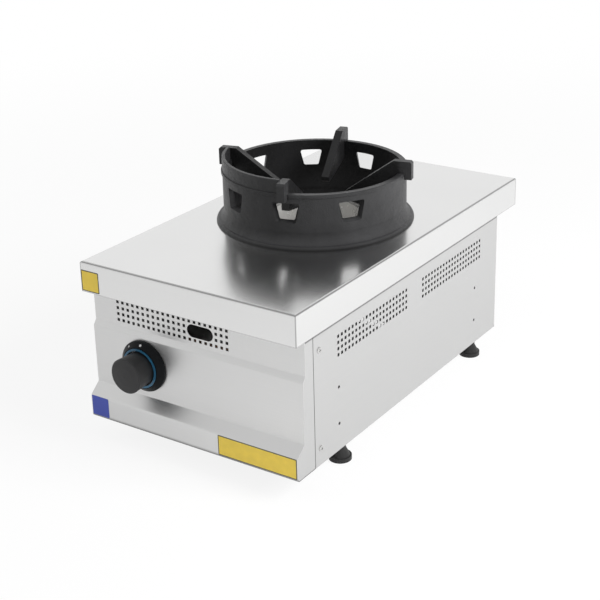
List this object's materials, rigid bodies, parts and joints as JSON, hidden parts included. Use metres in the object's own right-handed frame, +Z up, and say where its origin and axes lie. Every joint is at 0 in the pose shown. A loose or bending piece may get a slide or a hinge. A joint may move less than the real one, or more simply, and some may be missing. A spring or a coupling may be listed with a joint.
{
  "type": "wok range",
  "caption": "Countertop gas wok range: folded stainless case on levelling feet, one knob, and a cast-iron ring with four fingers over a burner.",
  "frame": {"origin": "on the worktop, under the middle of the whole outline", "axes": "+X to the right seen from the knob side, +Y to the back, +Z up"},
  "size_m": [0.4, 0.731, 0.41],
  "materials": {
    "stainless_top": "satin-brushed stainless sheet",
    "stainless_case": "satin-brushed stainless sheet",
    "stainless_cup": "pressed stainless, bright",
    "screw_steel": "bright screws",
    "plated_steel": "zinc-plated steel",
    "cast_iron": "matte black cast iron",
    "burner_iron": "grey cast iron",
    "black_plastic": "black plastic",
    "knob_plastic": "fine-textured black plastic",
    "blue_plastic": "blue plastic",
    "foot_plastic": "black moulded plastic",
    "brass": "turned brass",
    "copper": "drawn copper tube"
  },
  "bodies": {
    "case": {"top_plate": "stainless_top", "front_panel": "stainless_case", "front_cheek_left": "stainless_case", "front_cheek_right": "stainless_case", "side_panel_left": "stainless_case", "side_panel_right": "stainless_case", "back_panel": "stainless_case", "base_pan": "stainless_case", "side_screws": "screw_steel", "back_screws": "screw_steel", "foot_nuts": "plated_steel", "knob_bezel": "black_plastic", "knob_trim": "blue_plastic", "valve_body": "brass", "gas_inlet": "plated_steel", "inlet_locknut": "plated_steel", "manifold_pipe": "plated_steel", "supply_tube": "copper", "tube_nuts": "brass", "injector": "brass", "injector_bracket": "plated_steel", "mixer_tube": "burner_iron", "burner_body": "burner_iron", "burner_stand": "plated_steel", "pilot_bracket": "plated_steel", "pilot_burner": "brass", "pilot_tube": "copper", "thermocouple": "copper"},
    "tap_stem": {"valve_stem": "plated_steel"},
    "knob": {"knob": "knob_plastic"},
    "burner_head": {"burner_head": "burner_iron"},
    "flame_cup": {"flame_cup": "stainless_cup"},
    "wok_ring": {"wok_ring": "cast_iron", "wok_finger_1": "cast_iron", "wok_finger_2": "cast_iron", "wok_finger_3": "cast_iron", "wok_finger_4": "cast_iron"},
    "foot_front_left": {"foot_pad_front_left": "foot_plastic", "foot_stud_front_left": "plated_steel"},
    "foot_front_right": {"foot_pad_front_right": "foot_plastic", "foot_stud_front_right": "plated_steel"},
    "foot_rear_left": {"foot_pad_rear_left": "foot_plastic", "foot_stud_rear_left": "plated_steel"},
    "foot_rear_right": {"foot_pad_rear_right": "foot_plastic", "foot_stud_rear_right": "plated_steel"}
  },
  "joints": [
    {"name": "knob_turn", "type": "hinge", "parent": "case", "child": "tap_stem", "pos_m": [-0.098, -0.3175, 0.141], "axis": [0, -1, 0], "range_deg": [0, 180]},
    {"name": "knob_push", "type": "slide", "parent": "tap_stem", "child": "knob", "axis": [0, 1, 0], "range_m": [0, 0.004], "stiffness_N_per_m": 1200, "springref_m": -0.004},
    {"name": "burner_head_lift", "type": "slide", "parent": "case", "child": "burner_head", "axis": [0, 0, 1], "range_m": [0, 0.12]},
    {"name": "flame_cup_lift", "type": "slide", "parent": "case", "child": "flame_cup", "axis": [0, 0, 1], "range_m": [0, 0.12]},
    {"name": "wok_ring_lift", "type": "slide", "parent": "flame_cup", "child": "wok_ring", "axis": [0, 0, 1], "range_m": [0, 0.12]},
    {"name": "foot_front_left_level", "type": "slide", "parent": "case", "child": "foot_front_left", "axis": [0, 0, -1], "range_m": [0, 0.015]},
    {"name": "foot_front_right_level", "type": "slide", "parent": "case", "child": "foot_front_right", "axis": [0, 0, -1], "range_m": [0, 0.015]},
    {"name": "foot_rear_left_level", "type": "slide", "parent": "case", "child": "foot_rear_left", "axis": [0, 0, -1], "range_m": [0, 0.015]},
    {"name": "foot_rear_right_level", "type": "slide", "parent": "case", "child": "foot_rear_right", "axis": [0, 0, -1], "range_m": [0, 0.015]}
  ]
}
